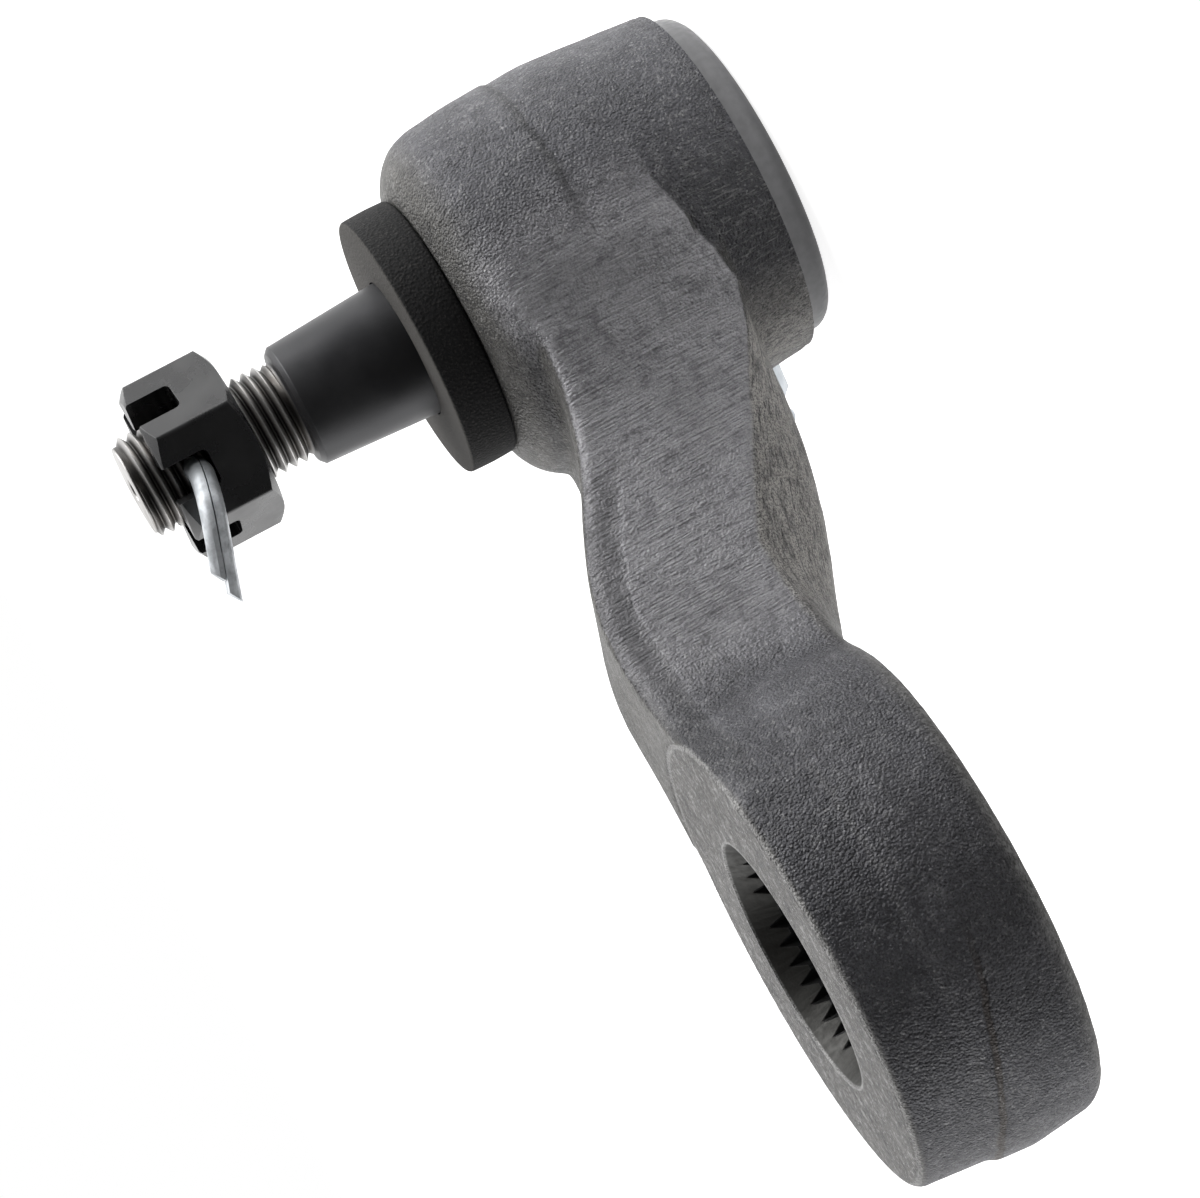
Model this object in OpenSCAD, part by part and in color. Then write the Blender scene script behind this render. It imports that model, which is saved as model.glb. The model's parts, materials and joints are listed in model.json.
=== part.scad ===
// Pitman arm: a forged steering arm with a splined boss at one end and a ball joint at the other.
// The origin is on the spline's axis at the middle of its length. +Z is the way the ball stud
// points and +X runs from the spline to the stud. Heights named below are measured from the
// boss's front face, which stands face_z above the origin, so what lies behind it is negative.

/* [Arm] */
// Distance from the spline's axis to the ball joint's axis
arm_length = 100; // [98:1:104]
// Half width of the web at its waist
web_half_width = 13; // [11:0.5:14]
// How far the web's front face drops between the boss and the housing
web_drop = 12.1; // [10:0.1:13]
// How far the web's front face stands proud of the boss's machined face
web_proud = 0.3; // [0.2:0.1:0.8]

/* [Splined boss] */
// Thickness of the boss
boss_height = 25.5; // [25:0.5:27]
// Radius of the machined front face
boss_face_r = 30.9; // [28:0.1:32]
// Radius of the boss at its parting line
boss_r = 33; // [32:0.1:35]
// Radius of the spline's crests, which is the bore
spline_crest_r = 15; // [14:0.05:15.5]
// Radius at the bottom of the spline's grooves
spline_root_r = 15.95; // [15.6:0.05:16.4]
// Positions round the spline, of which four are left blind
spline_positions = 36; // [32:4:40]
// Mouth radius of the conical lead-in
lead_r = 16.8; // [16.5:0.1:18]

/* [Ball housing] */
// Largest radius of the housing, at its parting line
housing_r = 25.75; // [25.5:0.05:27]
// Radius of the swaged rim where it leaves the housing's end
rim_r = 22.7; // [22.3:0.1:23.2]
// Radius of the mouth that the stud comes out of
mouth_r = 16; // [15.8:0.1:16.5]

/* [Ball joint] */
// Radius of the half ball
ball_r = 15; // [14.5:0.1:15]
// Radius of the stud's button head
head_r = 12; // [11:0.1:12]
// Free space between curved faces that slide on each other
slide_gap = 0.15; // [0.1:0.01:0.2]

/* [Stud] */
// Radius of the taper at the boss's face height
taper_r = 9.47; // [9:0.01:9.6]
// Thread's outer radius
thread_r = 7; // [6.5:0.1:7]
// Height of the stud's tip
tip_z = 40.2; // [39:0.1:44]

/* [Nut and cotter pin] */
// Width of the nut across its flats
nut_af = 22; // [21:0.5:24]
// Height of the nut
nut_height = 12.5; // [12:0.1:13]
// Width of the nut's slots
slot_w = 5; // [4.9:0.1:5.2]
// Radius of the cotter pin's two legs laid together
cotter_r = 1.7; // [1.5:0.1:1.7]

/* [Dust seal] */
// Outer radius of the seal
seal_r = 18.2; // [17:0.1:19]
// Thickness of the seal
seal_t = 6.6; // [5:0.1:7]

/* [Grease fitting] */
// Direction of the fitting round the housing, from +X
fitting_turn = 132; // [128:1:140]
// Width of the fitting's hexagon across its flats
fitting_af = 7; // [6.5:0.1:8]

/* [Hidden] */
$fn = 96;
past = 1;

// Boss
lead_depth = 4;
back_break = 1;
face_z = (boss_height - back_break + lead_depth) / 2;
edge_break = 0.8;
flash_z = -10;
flash_step = 0.6;
flash_in = 0.5;
parting_z = -15;
boss_back_round = 3.5;
boss_draft = 0.6;

// Spline grooves
blind_every = spline_positions / 4;
groove_slope = 0.7;
groove_root_w = 0.12;
groove_in_r = spline_crest_r - 0.4;

// Housing
housing_top = -6.2;
housing_end = -48.1;
housing_front_r = housing_r - 0.75;
housing_end_r = housing_r - 1.55;
housing_part_z = -30;
shoulder_r = 8;
rim_round = 2.6;
rim_z = housing_end - 0.3;
rim_end = rim_z - rim_round;
rim_hole_r = 16;
main_bore_r = 19;
main_bore_z = -31.4;
cover_r = 20.4;
cover_z = -46.6;
cover_t = 2.4;

// Web
web_edge_z = -22.5;
web_edge_drop = 15.4;
web_ridge_z = -22.4;
web_ridge_drop = 16.2;
web_draft = 0.4;
web_corner = 1.6;
edge_dip = 0.2;
edge_dip_x = 40;
edge_dip_run = 8;
edge_dip_bend = 3;
back_least = 0.6;
back_bend = 4;
ridge_bend = 16;
front_bend = 9;
front_fore = 48.8;
edge_fore = 46.2;
ridge_fore = 23;
front_aft = arm_length - 26;
edge_aft = arm_length - 24;
ridge_aft = arm_length - 38.7;
boss_flare = 3 / 4;
housing_flare = 8 / 15;
flare_r = boss_face_r - edge_break;
web_start = flare_r * 3 / 5;
web_end = arm_length - housing_front_r * 8 / 17;
boss_flare_x = web_start + (flare_r * 4 / 5 - web_half_width) / boss_flare;
housing_flare_x = web_end - (housing_front_r * 15 / 17 - web_half_width) / housing_flare;
flare_bend = 9;
web_rings = 24;
web_back_steps = 8;

// Ball joint
ball_z = -27;
seat_r = ball_r + slide_gap;
seat_mouth_r = 10.75;
seat_mouth_z = ball_z + sqrt(seat_r * seat_r - seat_mouth_r * seat_mouth_r);
ball_foot_z = ball_z - 3;
ball_top_z = ball_z + 11.2;
neck_r = 7;
run_gap = 0.06;
rest_gap = 0.02;
pad_r = main_bore_r - slide_gap;
pad_top = -34.8;
pad_foot = -43.2;
pad_recess = 1;
pad_recess_r = main_bore_r - 3;

// Stud
taper_slope = 1 / 16;
taper_end = 16.5;
taper_start = -1.8;
neck_top = -13;
waist_r = 8;
waist_z = -7;
collar_r = 8.9;
collar_z = -4;
relief_r = 6;
relief_z = taper_end + 1.5;
relief_step = 0.3;
thread_start = relief_z + 1.2;
thread_break = 0.7;
tip_break = 0.9;
centre_r = 1.7;
centre_depth = 2.7;
cotter_hole_r = 1.95;

// Nut and cotter pin
nut_z = 24;
nut_turn = -128;
slot_depth = 6.2;
slot_round = 0.8;
nut_bore_r = thread_r + 0.03;
nut_break_r = nut_af / 2 * 1.02;
nut_corner_r = nut_af / 2 / cos(30);
cotter_rise = 1.9;
cotter_z = nut_z + nut_height - slot_depth + cotter_rise;
cotter_roll = 18;
cotter_split = 0.08;
cotter_bend_r = 8;
cotter_bend = 80;
cotter_inset = 2.4;
cotter_out = nut_af / 2 - cotter_inset;
leg_lengths = [6.8, 8.3];
leg_slant = 40;
wire_r = cotter_r - cotter_split;
wire_steps = 8;
bend_steps = 10;
eye_r = 1.7;
eye_neck = 3.5;
eye_out = -nut_af / 2 - 4;
eye_from = acos(eye_r / eye_neck);
eye_steps = 8;

// Grease fitting
fitting_z = -40.3;
fitting_face = 24.3;
spot_r = 4.9;
spot_h = 4;
fitting_thread_r = 3;
fitting_hex_top = 30;
fitting_inner = main_bore_r + 0.4;
fitting_tip = 35.6;
channel_r = 1.45;
orifice_r = 0.9;
check_r = 1.2;
check_seat = fitting_tip - 1.6;
check_slope = (channel_r - orifice_r) / (fitting_tip - check_seat);
check_at = check_seat + (channel_r - (check_r + rest_gap) / cos(atan(check_slope))) / check_slope;
coil_r = 0.9;
coil_wire_r = 0.16;
coil_turns = 6;
coil_foot = check_seat - 6;
coil_top = check_at - sqrt(pow(check_r + coil_wire_r, 2) - coil_r * coil_r) - run_gap;

forged = [0.27, 0.27, 0.28];
phosphate = [0.20, 0.20, 0.21];
steel = [0.55, 0.55, 0.56];
zinc = [0.78, 0.80, 0.82];

// Points along an arc, from the angle a0 to a1 in n steps
function arc(centre, r, a0, a1, n = 8) =
    [for (i = [0:n]) let (a = a0 + (a1 - a0) * i / n) centre + r * [cos(a), sin(a)]];

// Ramp that is flat before 0 and rises one for one after it, rounded over a length of r each way
function ramp(u, r) = u <= -r ? 0 : u >= r ? u : (u + r) * (u + r) / (4 * r);

// Share of a joggle between fore and aft that is done at a distance x from the spline
function joggle(x, fore, aft, bend) = (ramp(x - fore, bend) - ramp(x - aft, bend)) / (aft - fore);

// Half width of the web: a waist whose flares end at a tangent to the boss and the housing
function web_half(x) = web_half_width
    + boss_flare * ramp(boss_flare_x - x, flare_bend)
    + housing_flare * ramp(x - housing_flare_x, flare_bend);

// Height of the side walls' lower edge, which dips a little towards the boss
function web_edge(x) =
    web_edge_z - web_edge_drop * joggle(x, edge_fore, edge_aft, back_bend)
    - edge_dip * min(edge_dip_run, ramp(edge_dip_x - x, edge_dip_bend));

// Height of the ridge along the rounded back
function web_ridge(x) =
    min(
        web_edge(x) - back_least,
        web_ridge_z - web_ridge_drop * joggle(x, ridge_fore, ridge_aft, ridge_bend)
    );

// One cross-section of the web: rounded back, drafted side walls and rounded front corners
function web_ring(x) =
    let (
        w = web_half(x),
        front = web_proud - web_drop * joggle(x, front_fore, front_aft, front_bend),
        edge = web_edge(x),
        ridge = web_ridge(x),
        corner = [w - web_draft - web_corner, front - web_corner],
        back = [for (i = [0:web_back_steps]) let (t = 2 * i / web_back_steps - 1)
            [w * t, ridge + (edge - ridge) * t * t]],
        right = arc(corner, web_corner, 0, 90, 2),
        left = arc([-corner[0], corner[1]], web_corner, 90, 180, 2)
    )
    [for (p = concat(back, right, left)) [x, p[0], p[1]]];

// Skin over a list of rings that all have the same number of points, closed at both ends
module skin(rings) {
    count = len(rings);
    size = len(rings[0]);
    sides = [for (i = [0:count - 2], j = [0:size - 1]) let (
        a = i * size + j,
        b = i * size + (j + 1) % size
    ) each [[a, a + size, b], [b, a + size, b + size]]];
    first = [for (j = [0:size - 1]) j];
    last = [for (j = [size - 1:-1:0]) (count - 1) * size + j];
    polyhedron(points = [for (r = rings) each r], faces = concat(sides, [first, last]));
}

// Places a piece by heights measured from the boss's front face
module from_face() {
    translate([0, 0, face_z]) children();
}

// Places a piece on the ball joint's axis
module at_joint() {
    translate([arm_length, 0, face_z]) children();
}

// Places a piece on the grease fitting's axis, which runs outwards along Z there
module at_fitting() {
    at_joint() translate([0, 0, fitting_z]) rotate([0, 0, fitting_turn]) rotate([0, 90, 0]) children();
}

// Places a piece on the cotter pin's axis, with X outwards to the side of the bent legs
module at_cotter() {
    at_joint() translate([0, 0, cotter_z]) rotate([0, 0, nut_turn]) children();
}

module boss_blank() {
    back_r = boss_r - boss_draft;
    rotate_extrude() polygon(concat(
        [
            [0, 0],
            [boss_face_r - edge_break, 0],
            [boss_face_r, -edge_break],
            [boss_r - flash_in - flash_step, flash_z + flash_step / 2],
            [boss_r - flash_in, flash_z - flash_step / 2],
            [boss_r, parting_z]
        ],
        arc([back_r - boss_back_round, boss_back_round - boss_height], boss_back_round, 0, -90, 6),
        [[0, -boss_height]]
    ));
}

module housing_blank() {
    rotate_extrude() polygon(concat(
        [[0, housing_top]],
        arc([housing_front_r - shoulder_r, housing_top - shoulder_r], shoulder_r, 90, 0),
        [
            [housing_r, housing_part_z],
            [housing_end_r, housing_end + edge_break],
            [housing_end_r - edge_break, housing_end],
            [rim_r, housing_end]
        ],
        arc([rim_r - rim_round, rim_z], rim_round, 0, -90, 6),
        [[0, rim_end]]
    ));
}

module web() {
    step = (web_end - web_start) / (web_rings - 1);
    skin([for (i = [0:web_rings - 1]) web_ring(web_start + i * step)]);
}

// Grooves of the spline, as one star whose inner points lie inside the bore
module spline_grooves() {
    half_in = groove_root_w + (spline_root_r - groove_in_r) * groove_slope;
    linear_extrude(boss_height + 2 * past) polygon([
        for (k = [0:spline_positions - 1])
            if (k % blind_every != 0)
                let (a = 360 * k / spline_positions, out = [cos(a), sin(a)], side = [-sin(a), cos(a)])
                    each [
                        groove_in_r * out - half_in * side,
                        spline_root_r * out - groove_root_w * side,
                        spline_root_r * out + groove_root_w * side,
                        groove_in_r * out + half_in * side
                    ]
    ]);
}

module splined_bore() {
    grow = (lead_r - spline_crest_r) / lead_depth;
    translate([0, 0, -boss_height - past]) {
        cylinder(r = spline_crest_r, h = boss_height + 2 * past);
        spline_grooves();
    }
    translate([0, 0, -lead_depth])
        cylinder(r1 = spline_crest_r, r2 = lead_r + grow * past, h = lead_depth + past);
    translate([0, 0, -boss_height - past])
        cylinder(r1 = spline_crest_r + back_break + past, r2 = spline_crest_r, h = back_break + past);
}

module housing_cavity() {
    mouth_h = housing_top - seat_mouth_z;
    grow = (mouth_r - seat_mouth_r) / mouth_h;
    translate([0, 0, seat_mouth_z])
        cylinder(r1 = seat_mouth_r, r2 = mouth_r + grow * past, h = mouth_h + past);
    translate([0, 0, ball_z]) sphere(r = seat_r);
    translate([0, 0, main_bore_z - past]) cylinder(r = seat_r, h = ball_z - main_bore_z + past);
    translate([0, 0, cover_z - past]) cylinder(r = main_bore_r, h = main_bore_z - cover_z + past);
    translate([0, 0, cover_z - cover_t]) cylinder(r = cover_r, h = cover_t);
    translate([0, 0, rim_end - past]) cylinder(r = rim_hole_r, h = cover_z - rim_end);
}

module pitman_arm() {
    color(forged) difference() {
        from_face() {
            boss_blank();
            translate([arm_length, 0, 0]) housing_blank();
            web();
        }
        from_face() {
            splined_bore();
            cylinder(r = boss_face_r, h = 2 * web_proud);
        }
        at_joint() housing_cavity();
        at_fitting() {
            translate([0, 0, main_bore_r - past])
                cylinder(r = fitting_thread_r + run_gap, h = housing_r - main_bore_r + past);
            translate([0, 0, fitting_face]) cylinder(r = spot_r, h = spot_h);
        }
    }
}

// Turned shape of the stud, from its button head to its tip
module stud_profile() {
    head_cut = ball_foot_z - slide_gap - ball_z;
    head_rim = acos(-head_cut / head_r);
    polygon(concat(
        arc([0, ball_z], head_r, -90, head_rim - 90, 10),
        [
            [neck_r, ball_z + head_cut],
            [neck_r, neck_top],
            [waist_r, waist_z],
            [collar_r, collar_z],
            [taper_r - taper_slope * taper_start, taper_start],
            [taper_r - taper_slope * taper_end, taper_end],
            [thread_r, relief_z],
            [relief_r, relief_z + relief_step],
            [relief_r, thread_start],
            [thread_r, thread_start + thread_break],
            [thread_r, tip_z - tip_break],
            [thread_r - tip_break, tip_z],
            [centre_r, tip_z],
            [0, tip_z - centre_depth]
        ]
    ));
}

module ball_stud() {
    color(phosphate) difference() {
        at_joint() rotate_extrude() stud_profile();
        at_cotter() rotate([0, 90, 0]) cylinder(r = cotter_hole_r, h = 4 * thread_r, center = true);
    }
}

module half_ball() {
    color(steel) at_joint() difference() {
        intersection() {
            translate([0, 0, ball_z]) sphere(r = ball_r);
            translate([0, 0, ball_foot_z]) cylinder(r = 2 * ball_r, h = ball_top_z - ball_foot_z);
        }
        translate([0, 0, ball_foot_z - past])
            cylinder(r = neck_r + run_gap, h = ball_top_z - ball_foot_z + 2 * past);
    }
}

module pressure_pad() {
    color([0.85, 0.84, 0.78]) at_joint() difference() {
        translate([0, 0, pad_foot]) cylinder(r = pad_r, h = pad_top - pad_foot);
        translate([0, 0, ball_z]) sphere(r = head_r + slide_gap);
        translate([0, 0, pad_foot - past]) cylinder(r = pad_recess_r, h = pad_recess + past);
    }
}

// Dished washer: its outer edge bears on the cover and its inner edge on the pad
module preload_spring() {
    outer = pad_recess_r - 0.8;
    inner = 6;
    thick = 1.1;
    top = pad_foot + pad_recess - slide_gap;
    foot = cover_z + run_gap;
    color(steel) at_joint() rotate_extrude() polygon([
        [inner, top], [inner, top - thick], [outer, foot], [outer, foot + thick]
    ]);
}

// Pressed cover with a shallow outward dish in its middle
module end_cover() {
    edge = cover_r - 0.05;
    dish_r = 11;
    dish = 1.4;
    top = cover_z;
    foot = cover_z - cover_t;
    color(steel) at_joint() rotate_extrude() polygon([
        [0, top - dish], [dish_r - 1, top - dish], [dish_r + 1, top], [edge, top],
        [edge, foot], [dish_r + 2, foot], [dish_r, foot - dish], [0, foot - dish]
    ]);
}

module dust_seal() {
    foot = housing_top + rest_gap;
    inner = taper_r - taper_slope * taper_start + run_gap;
    soft = 0.5;
    color([0.11, 0.11, 0.12]) at_joint() rotate_extrude() polygon([
        [inner, foot], [seal_r - soft, foot], [seal_r, foot + soft],
        [seal_r, foot + seal_t - soft], [seal_r - soft, foot + seal_t], [inner, foot + seal_t]
    ]);
}

// Section of a slot of the nut, with rounded bottom corners
module slot_profile() {
    top = slot_depth + past;
    corner = slot_w / 2 - slot_round;
    polygon(concat(
        [[-slot_w / 2, top]],
        arc([-corner, slot_round], slot_round, 180, 270, 3),
        arc([corner, slot_round], slot_round, 270, 360, 3),
        [[slot_w / 2, top]]
    ));
}

// Slotted nut: full hexagon height, both ends turned to a cone
module castle_nut() {
    cone = (nut_corner_r - nut_break_r) * tan(35);
    color([0.13, 0.13, 0.14]) at_joint() translate([0, 0, nut_z]) difference() {
        intersection() {
            rotate([0, 0, nut_turn + 30]) cylinder(r = nut_corner_r, h = nut_height, $fn = 6);
            rotate_extrude() polygon([
                [0, 0], [nut_break_r, 0], [nut_corner_r, cone],
                [nut_corner_r, nut_height - cone], [nut_break_r, nut_height], [0, nut_height]
            ]);
        }
        translate([0, 0, -past]) cylinder(r = nut_bore_r, h = nut_height + 2 * past);
        for (k = [0:2])
            rotate([0, 0, nut_turn + 60 * k]) translate([-nut_af, 0, nut_height - slot_depth])
                rotate([90, 0, 90]) linear_extrude(2 * nut_af) slot_profile();
    }
}

// Half-round section of the cotter pin's wire, its flat towards the other leg
function wire_ring(at, side, out, lean = [0, 0, 0]) =
    [for (i = [0:wire_steps]) let (a = 180 - 180 * i / wire_steps, h = wire_r * sin(a))
        at + wire_r * cos(a) * side + h * out + (cotter_split + h) * lean];

// Place of a leg's flat when it has been bent round by the angle b, on the side given by way
function leg_point(b, way) =
    [cotter_out + cotter_bend_r * sin(b), cotter_bend_r * (1 - cos(b)), way * cotter_split];

// One leg of the cotter pin as sections from its slanted end through the stud to the eye's far side
function leg_rings(way, tail) =
    let (
        across = [0, 1, 0],
        out = [0, 0, way],
        heading = [cos(cotter_bend), sin(cotter_bend), 0],
        neck = [tan((90 - eye_from) / 2), 0, way]
    )
    concat(
        [wire_ring(
            leg_point(cotter_bend, way) + tail * heading,
            [-heading[1], heading[0], 0],
            out,
            -way * tan(leg_slant) * heading
        )],
        [for (i = [0:bend_steps]) let (b = cotter_bend * (1 - i / bend_steps))
            wire_ring(leg_point(b, way), [-sin(b), cos(b), 0], out)],
        [wire_ring([eye_out + eye_neck, 0, way * cotter_split], across, neck)],
        [for (i = [0:eye_steps])
            let (a = eye_from + (180 - eye_from) * i / eye_steps, spoke = [cos(a), 0, way * sin(a)])
                wire_ring([eye_out, 0, 0] + eye_r * spoke, across, spoke)]
    );

// One wire, bent back on itself at the eye
module cotter_pin() {
    there = leg_rings(1, leg_lengths[0]);
    back = leg_rings(-1, leg_lengths[1]);
    color(zinc) at_cotter() rotate([-cotter_roll, 0, 0]) mirror([0, 1, 0])
        skin(concat(there, [for (i = [len(back) - 2:-1:0]) back[i]]));
}

module grease_fitting() {
    hex_r = fitting_af / 2 / cos(30);
    flare = 2.6;
    neck = 2.1;
    head = 3.2;
    nose = 1.9;
    color(zinc) at_fitting() difference() {
        union() {
            translate([0, 0, fitting_inner])
                cylinder(r = fitting_thread_r, h = fitting_face - fitting_inner);
            translate([0, 0, fitting_face])
                cylinder(r = hex_r, h = fitting_hex_top - fitting_face, $fn = 6);
            rotate_extrude($fn = 48) polygon([
                [0, fitting_hex_top], [flare, fitting_hex_top], [neck, fitting_hex_top + 1.2],
                [neck, fitting_hex_top + 2], [head, fitting_hex_top + 3.2],
                [head, fitting_hex_top + 3.9], [nose, fitting_tip], [0, fitting_tip]
            ]);
        }
        translate([0, 0, fitting_inner - past])
            cylinder(r = channel_r, h = check_seat - fitting_inner + past);
        translate([0, 0, check_seat])
            cylinder(r1 = channel_r, r2 = orifice_r, h = fitting_tip - check_seat);
        translate([0, 0, check_seat]) cylinder(r = orifice_r, h = fitting_tip - check_seat + past);
    }
}

module grease_check_ball() {
    color(steel) at_fitting() translate([0, 0, check_at]) sphere(r = check_r, $fn = 48);
}

// Small coil spring, one tube swept round the fitting's axis
module grease_check_spring() {
    rise = coil_top - coil_foot;
    steps = 10 * coil_turns;
    color(steel) at_fitting() skin([
        for (i = [0:steps])
            let (a = -360 * coil_turns * i / steps, z = coil_foot + rise * i / steps)
                [for (j = [0:7]) let (b = 45 * j, r = coil_r + coil_wire_r * cos(b))
                    [r * cos(a), r * sin(a), z + coil_wire_r * sin(b)]]
    ]);
}

pitman_arm();
ball_stud();
half_ball();
pressure_pad();
preload_spring();
end_cover();
dust_seal();
castle_nut();
cotter_pin();
grease_fitting();
grease_check_ball();
grease_check_spring();
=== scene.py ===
import bpy
import json
import math
import numpy as np
from mathutils import Matrix, Vector


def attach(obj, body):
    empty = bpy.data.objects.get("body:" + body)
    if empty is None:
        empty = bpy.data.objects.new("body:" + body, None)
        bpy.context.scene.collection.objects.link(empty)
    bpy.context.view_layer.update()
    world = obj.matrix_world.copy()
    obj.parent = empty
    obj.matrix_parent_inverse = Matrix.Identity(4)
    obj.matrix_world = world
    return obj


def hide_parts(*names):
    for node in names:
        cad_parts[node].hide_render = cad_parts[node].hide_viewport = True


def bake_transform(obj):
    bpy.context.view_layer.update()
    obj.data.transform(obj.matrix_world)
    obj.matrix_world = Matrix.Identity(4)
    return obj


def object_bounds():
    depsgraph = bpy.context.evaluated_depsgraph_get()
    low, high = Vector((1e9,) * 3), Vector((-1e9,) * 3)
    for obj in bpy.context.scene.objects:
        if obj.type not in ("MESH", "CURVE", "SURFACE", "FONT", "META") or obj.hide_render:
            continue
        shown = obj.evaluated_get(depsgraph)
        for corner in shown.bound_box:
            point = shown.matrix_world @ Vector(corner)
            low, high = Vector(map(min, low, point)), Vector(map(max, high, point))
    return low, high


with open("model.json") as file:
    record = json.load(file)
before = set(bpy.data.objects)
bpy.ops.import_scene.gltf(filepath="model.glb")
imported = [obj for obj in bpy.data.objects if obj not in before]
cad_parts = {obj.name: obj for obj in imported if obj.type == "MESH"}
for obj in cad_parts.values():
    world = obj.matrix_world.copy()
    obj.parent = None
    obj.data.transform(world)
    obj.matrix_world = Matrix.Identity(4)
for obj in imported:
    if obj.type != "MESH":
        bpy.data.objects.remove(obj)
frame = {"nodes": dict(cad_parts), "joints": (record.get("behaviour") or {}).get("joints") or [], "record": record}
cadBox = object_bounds()
mounts = {m["name"]: m for m in frame["record"]["mounts"]}
hinges = {j["name"]: j for j in frame["joints"]}
mm = 0.001
faceZ = mounts["boss_face"]["pos_m"][2] / mm  # the boss's machined face, mm above the origin
studX = hinges["stud_tilt"]["pos_m"][0] / mm  # the ball joint's axis, mm from the spline's
weld = 0.000004  # m, points closer than this are one


# hand tools

def deselectAll():
    active = bpy.context.view_layer.objects.active
    if active and active.mode != "OBJECT":
        bpy.ops.object.mode_set(mode="OBJECT")
    bpy.ops.object.select_all(action="DESELECT")


def pick(obj):
    deselectAll()
    obj.select_set(True)
    bpy.context.view_layer.objects.active = obj
    return obj


def named(name):
    obj = bpy.context.object
    obj.name = name
    obj.data.name = name
    return obj


def editAll(obj):
    pick(obj)
    bpy.ops.object.mode_set(mode="EDIT")
    bpy.ops.mesh.select_all(action="SELECT")


def leaveEdit():
    bpy.ops.object.mode_set(mode="OBJECT")


def bakeModifiers(obj):
    pick(obj)
    for name in [m.name for m in obj.modifiers]:
        bpy.ops.object.modifier_apply(modifier=name)


def bakePlace(obj):
    pick(obj)
    bpy.ops.object.transform_apply(location=True, rotation=True, scale=True)


def joinInto(obj, others):
    pick(obj)
    for other in others:
        other.select_set(True)
    bpy.context.view_layer.objects.active = obj
    bpy.ops.object.join()


def copyOf(nodeName, name):
    obj = bpy.data.objects.new(name, frame["nodes"][nodeName].data.copy())
    bpy.context.scene.collection.objects.link(obj)
    obj.data.materials.clear()
    editAll(obj)
    bpy.ops.mesh.remove_doubles(threshold=0.00001)
    leaveEdit()
    return obj


def cut(obj, tool, how="DIFFERENCE"):
    knife = obj.modifiers.new("cut", "BOOLEAN")
    knife.operation = how
    knife.solver = "EXACT"
    knife.object = tool
    bakeModifiers(obj)
    bpy.data.objects.remove(tool)


def rod(name, x, z0, z1, r, sides=96, r2=None):
    deselectAll()
    at = (x * mm, 0, (z0 + z1) / 2 * mm + faceZ * mm)
    if r2 is None:
        bpy.ops.mesh.primitive_cylinder_add(vertices=sides, radius=r * mm, depth=(z1 - z0) * mm, location=at)
    else:
        bpy.ops.mesh.primitive_cone_add(
            vertices=sides, radius1=r * mm, radius2=r2 * mm, depth=(z1 - z0) * mm, location=at)
    obj = named(name)
    bakePlace(obj)
    return obj


def drawLine(name, points):
    deselectAll()
    bpy.ops.mesh.primitive_plane_add(size=mm, location=(0, 0, 0))
    obj = named(name)
    editAll(obj)
    bpy.ops.mesh.merge(type="CENTER")
    here = Vector(points[0])
    bpy.ops.transform.translate(value=here)
    for point in points[1:]:
        step = Vector(point) - here
        bpy.ops.mesh.extrude_region_move(TRANSFORM_OT_translate={"value": step})
        here = Vector(point)
    leaveEdit()
    return obj


def rounded(profile):
    # a corner is (r, z, radius): it becomes an arc of that radius
    arcSteps = 6
    out = []
    last = len(profile) - 1
    for i, corner in enumerate(profile):
        here = Vector(corner[:2])
        radius = corner[2] if len(corner) > 2 else 0
        if radius == 0 or i in (0, last):
            out.append(here)
            continue
        back = (Vector(profile[i - 1][:2]) - here).normalized()
        on = (Vector(profile[i + 1][:2]) - here).normalized()
        half = back.angle(on) / 2
        reach = radius / math.tan(half)
        centre = here + (back + on).normalized() * (radius / math.sin(half))
        start = here + back * reach - centre
        end = here + on * reach - centre
        sweep = math.atan2(start.x * end.y - start.y * end.x, start.dot(end))
        for k in range(arcSteps + 1):
            turn = Matrix.Rotation(sweep * k / arcSteps, 2)
            out.append(centre + turn @ start)
    return out


def turned(name, profile, x=studX, steps=96):
    points = [((x + p[0]) * mm, 0, (p[1] + faceZ) * mm) for p in rounded(profile)]
    obj = drawLine(name, points)
    editAll(obj)
    bpy.ops.mesh.spin(steps=steps, angle=2 * math.pi, center=(x * mm, 0, 0), axis=(0, 0, 1))
    bpy.ops.mesh.select_all(action="SELECT")
    bpy.ops.mesh.remove_doubles(threshold=weld)
    bpy.ops.mesh.normals_make_consistent(inside=False)
    leaveEdit()
    return obj


def smoothShade(obj, angle=35):
    pick(obj)
    bpy.ops.object.shade_smooth_by_angle(angle=math.radians(angle))


def coords(obj):
    co = np.empty(len(obj.data.vertices) * 3, np.float32)
    obj.data.vertices.foreach_get("co", co)
    return co.reshape(-1, 3) / mm


def setCoords(obj, co):
    obj.data.vertices.foreach_set("co", (co * mm).astype(np.float32).ravel())
    obj.data.update()


def weigh(obj, name, values):
    leastWeight = 0.004
    group = obj.vertex_groups.new(name=name)
    for i, w in enumerate(np.clip(values, 0, 1)):
        if w > leastWeight:
            group.add([i], float(w), "REPLACE")


def ease(x, low, high):
    t = np.clip((x - low) / (high - low), 0, 1)
    return t * t * (3 - 2 * t)


# finishes

def newFinish(name):
    mat = bpy.data.materials.new(name)
    mat.use_nodes = True
    return mat


def feed(mat, socket, value):
    # a socket is linked, a plain value is set; a colour gets its alpha
    if isinstance(value, bpy.types.NodeSocket):
        mat.node_tree.links.new(value, socket)
    elif socket.type == "RGBA" and len(value) == 3:
        socket.default_value = (*value, 1.0)
    else:
        socket.default_value = value


def tool(mat, kind, sets=None, **inputs):
    n = mat.node_tree.nodes.new(kind)
    for key, value in (sets or {}).items():
        setattr(n, key, value)
    for key, value in inputs.items():
        feed(mat, n.inputs[key.replace("_", " ")], value)
    return n


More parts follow.
